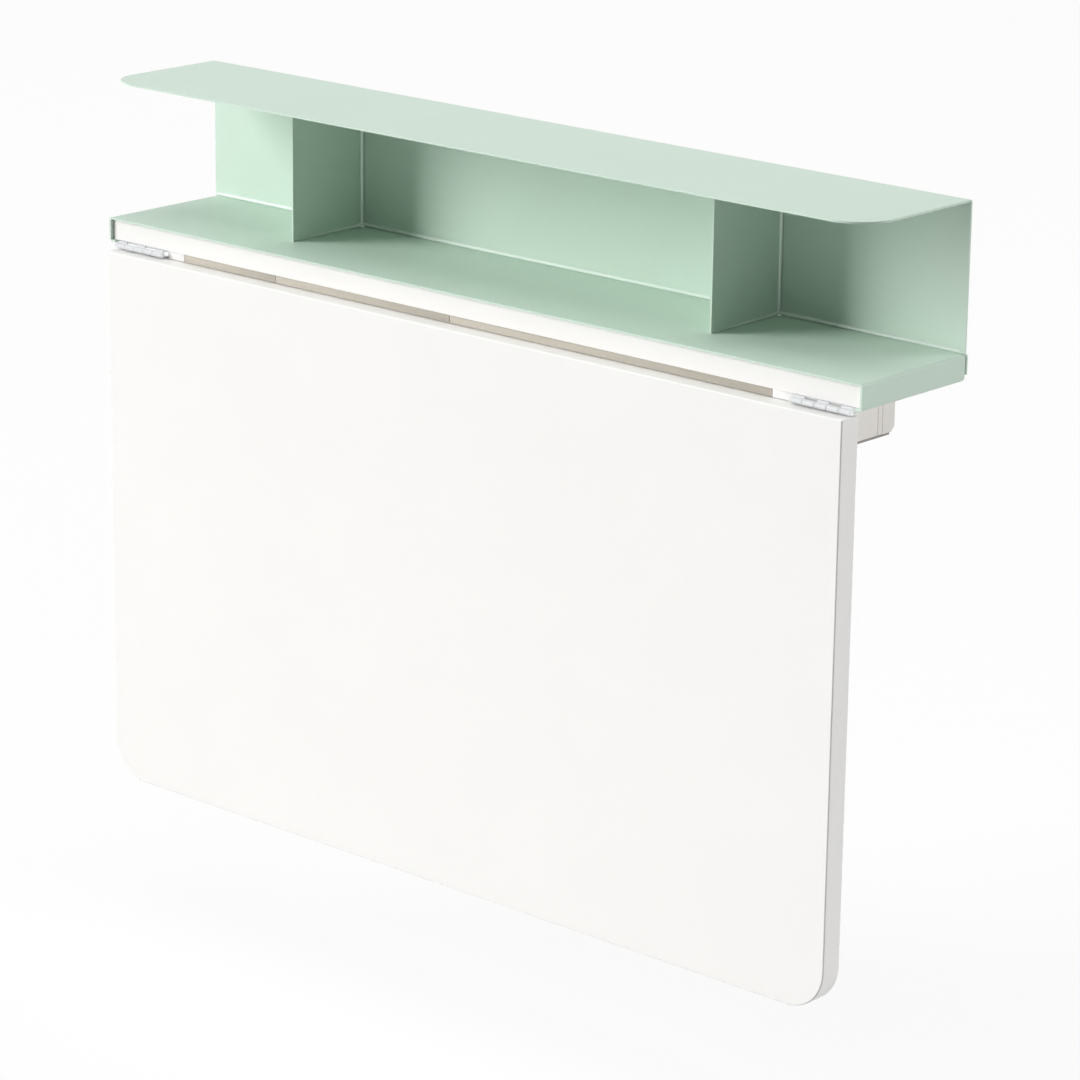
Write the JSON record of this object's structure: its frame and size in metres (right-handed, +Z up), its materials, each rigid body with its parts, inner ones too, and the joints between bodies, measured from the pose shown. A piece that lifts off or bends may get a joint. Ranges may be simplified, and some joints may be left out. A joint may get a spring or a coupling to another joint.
{
  "type": "wall mounted drop leaf table",
  "caption": "Wall mounted drop leaf table: a hinged white leaf under a folded steel shelf with dividers.",
  "frame": {"origin": "middle of the row of wall screw holes, on the wall plane", "axes": "+X to the right seen from the room, +Y into the wall, +Z up"},
  "size_m": [1, 0.175, 0.763],
  "materials": {
    "mint_steel": "satin powder coat",
    "white_laminate": "satin white melamine",
    "white_timber": "matt white paint",
    "bare_timber": "clear lacquer",
    "plated_steel": "nickel plate",
    "zinc_fixings": "zinc plate",
    "grey_board": "bare grey hardboard",
    "grey_felt": "felt"
  },
  "bodies": {
    "wall_unit": {"shelf_hood": "mint_steel", "shelf_tray": "mint_steel", "divider_left": "mint_steel", "divider_right": "mint_steel", "fixed_board": "white_laminate", "wall_batten": "white_timber", "frame_back": "white_timber", "cheek_left": "white_timber", "cheek_right": "white_timber", "pivot_block_left": "white_timber", "pivot_block_right": "white_timber", "swing_arm_left": "bare_timber", "swing_arm_right": "bare_timber", "hinge_board_plate_left": "plated_steel", "hinge_board_plate_right": "plated_steel", "hinge_pin_left": "plated_steel", "hinge_pin_right": "plated_steel", "hinge_board_screws": "plated_steel", "tray_bolts": "zinc_fixings", "arm_pivot_bolts": "zinc_fixings", "arm_sleeves": "zinc_fixings", "rear_screws": "zinc_fixings", "cheek_screws": "zinc_fixings", "board_screws": "zinc_fixings", "arm_pads": "grey_felt", "bottom_panel": "grey_board"},
    "leaf": {"drop_leaf": "white_laminate", "hinge_leaf_plate_left": "plated_steel", "hinge_leaf_plate_right": "plated_steel", "hinge_leaf_screws": "plated_steel"}
  },
  "joints": [
    {"name": "leaf_lift", "type": "hinge", "parent": "wall_unit", "child": "leaf", "pos_m": [0, -0.161, 0.0285], "axis": [-1, 0, 0], "range_deg": [0, 90]}
  ]
}
